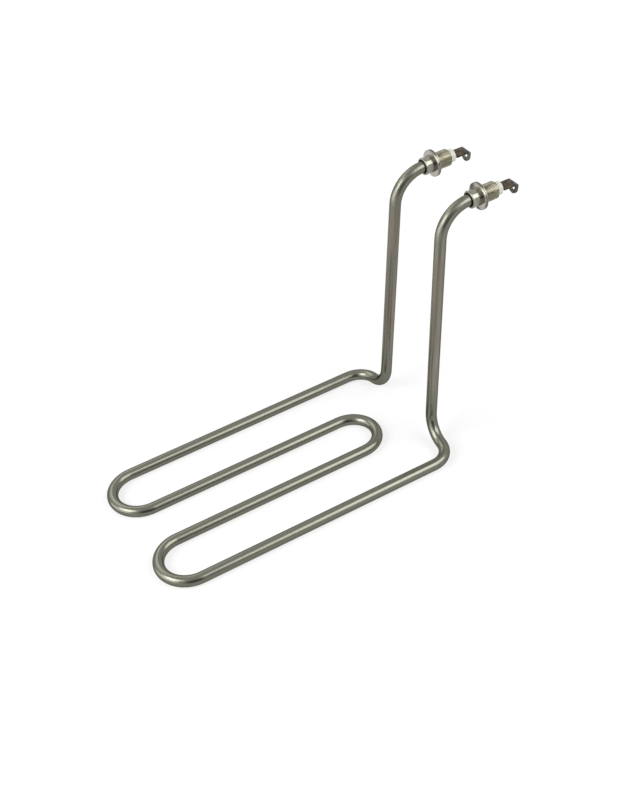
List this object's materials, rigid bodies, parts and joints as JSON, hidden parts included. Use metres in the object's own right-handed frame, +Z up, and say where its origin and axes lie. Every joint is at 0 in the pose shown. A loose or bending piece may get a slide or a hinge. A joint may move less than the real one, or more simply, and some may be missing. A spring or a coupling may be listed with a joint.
{
  "type": "tubular heating element",
  "caption": "Tubular electric heating element: a flat serpentine stainless sheath with raised legs, threaded flange bushes and screw terminals.",
  "frame": {"origin": "centre of the footprint, on the surface the flat runs lie on", "axes": "+Z up; +Y from the front bends towards the terminals, along both threaded bushes; X across the element, with the mirror plane at X = 0"},
  "size_m": [0.127, 0.2985, 0.1889],
  "materials": {
    "stainless_sheath": "satin drawn stainless tube with light scuffs",
    "nickel_plate": "dull nickel plate on brass",
    "white_ceramic": "unglazed white steatite",
    "oxidised_steel": "heat-darkened brown oxide",
    "pin_steel": "plain drawn wire",
    "resistance_alloy": "oxidised nickel-chrome wire",
    "magnesia": "compacted powder",
    "seal_silicone": "matte cured silicone"
  },
  "bodies": {
    "root": {"sheath_tube": "stainless_sheath", "resistance_coil": "resistance_alloy", "magnesia_core": "magnesia", "cold_pin_left": "pin_steel", "end_seal_left": "seal_silicone", "threaded_bush_left": "nickel_plate", "ceramic_insulator_left": "white_ceramic", "terminal_left": "oxidised_steel", "cold_pin_right": "pin_steel", "end_seal_right": "seal_silicone", "threaded_bush_right": "nickel_plate", "ceramic_insulator_right": "white_ceramic", "terminal_right": "oxidised_steel"}
  },
  "joints": []
}
